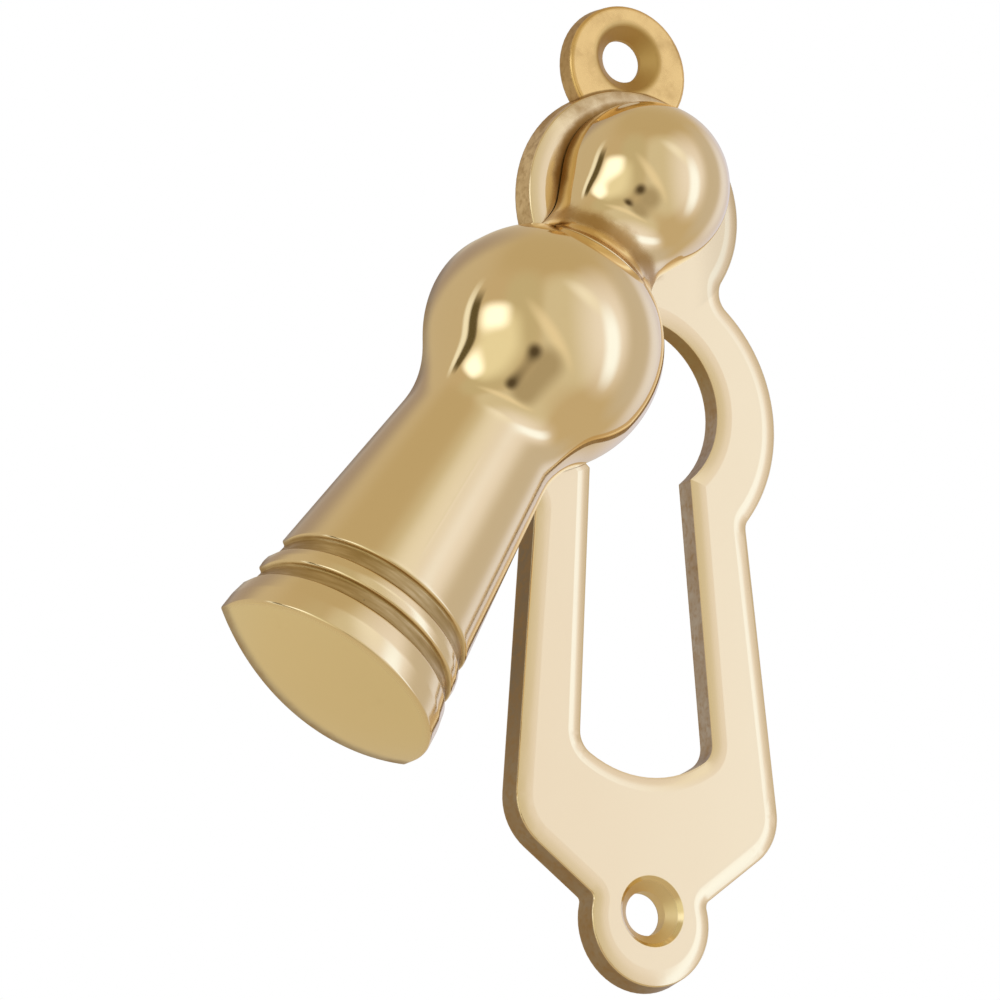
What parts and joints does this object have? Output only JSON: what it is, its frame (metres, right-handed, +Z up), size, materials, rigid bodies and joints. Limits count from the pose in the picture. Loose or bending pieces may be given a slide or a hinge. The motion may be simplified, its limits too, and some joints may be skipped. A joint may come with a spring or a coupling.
{
  "type": "keyhole escutcheon",
  "caption": "Polished brass keyhole escutcheon: a shaped back plate with a key opening, and a baluster cover that swings aside on a rivet.",
  "frame": {"origin": "midway between the two screw holes, on the back face that lies against the door", "axes": "+Z up the door, +X to the right as seen from the front, +Y into the door"},
  "size_m": [0.0513, 0.0136, 0.0819],
  "materials": {
    "plate_brass": "polished",
    "cover_brass": "polished",
    "rivet_brass": "as turned"
  },
  "bodies": {
    "plate": {"plate": "plate_brass"},
    "cover": {"cover": "cover_brass", "pivot_rivet": "rivet_brass"}
  },
  "joints": [
    {"name": "cover_swing", "type": "hinge", "parent": "plate", "child": "cover", "pos_m": [0, 0, 0.024], "axis": [0, 1, 0], "continuous": true}
  ]
}
